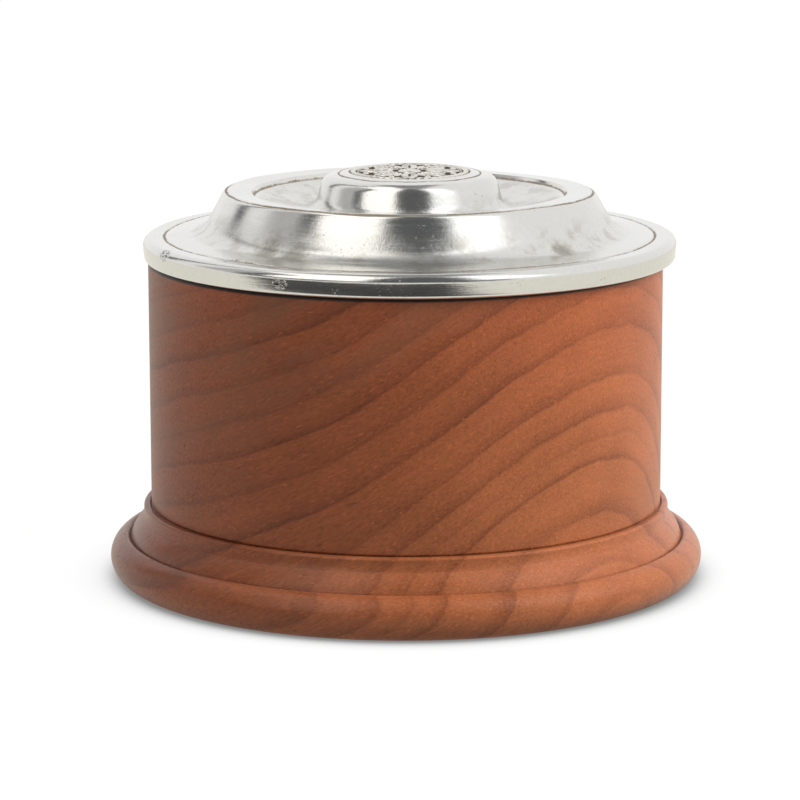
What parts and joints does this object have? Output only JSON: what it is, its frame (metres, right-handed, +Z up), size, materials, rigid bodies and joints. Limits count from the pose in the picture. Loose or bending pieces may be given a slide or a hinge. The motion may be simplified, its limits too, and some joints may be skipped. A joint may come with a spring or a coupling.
{
  "type": "hinged-lid salt box",
  "caption": "Round turned-wood salt box with a moulded foot and a stepped cast pewter lid that swings on a hinge at the back.",
  "frame": {"origin": "middle of the foot's underside, on the vessel's turned axis", "axes": "+Z up along the turned axis, -Y the front that the picture shows, +Y the back with the hinge, +X to the right seen from the front"},
  "size_m": [0.1302, 0.1304, 0.089],
  "materials": {
    "turned_wood": "satin oiled",
    "pewter": "soft polished cast pewter",
    "pewter_relief": "cast relief with dark patina in the hollows",
    "pin_steel": "drawn rod, satin",
    "screw_brass": "turned, slightly tarnished"
  },
  "bodies": {
    "vessel": {"wood_body": "turned_wood", "hinge_plate": "pewter", "hinge_pin": "pin_steel", "hinge_screw_left": "screw_brass", "hinge_screw_right": "screw_brass", "hinge_screw_lower": "screw_brass"},
    "lid": {"lid_shell": "pewter", "medallion": "pewter_relief", "locating_ring": "pewter", "hinge_lug": "pewter"}
  },
  "joints": [
    {"name": "lid_hinge", "type": "hinge", "parent": "vessel", "child": "lid", "pos_m": [0, 0.061, 0.0713], "axis": [-1, 0, 0], "range_deg": [0, 105]}
  ]
}
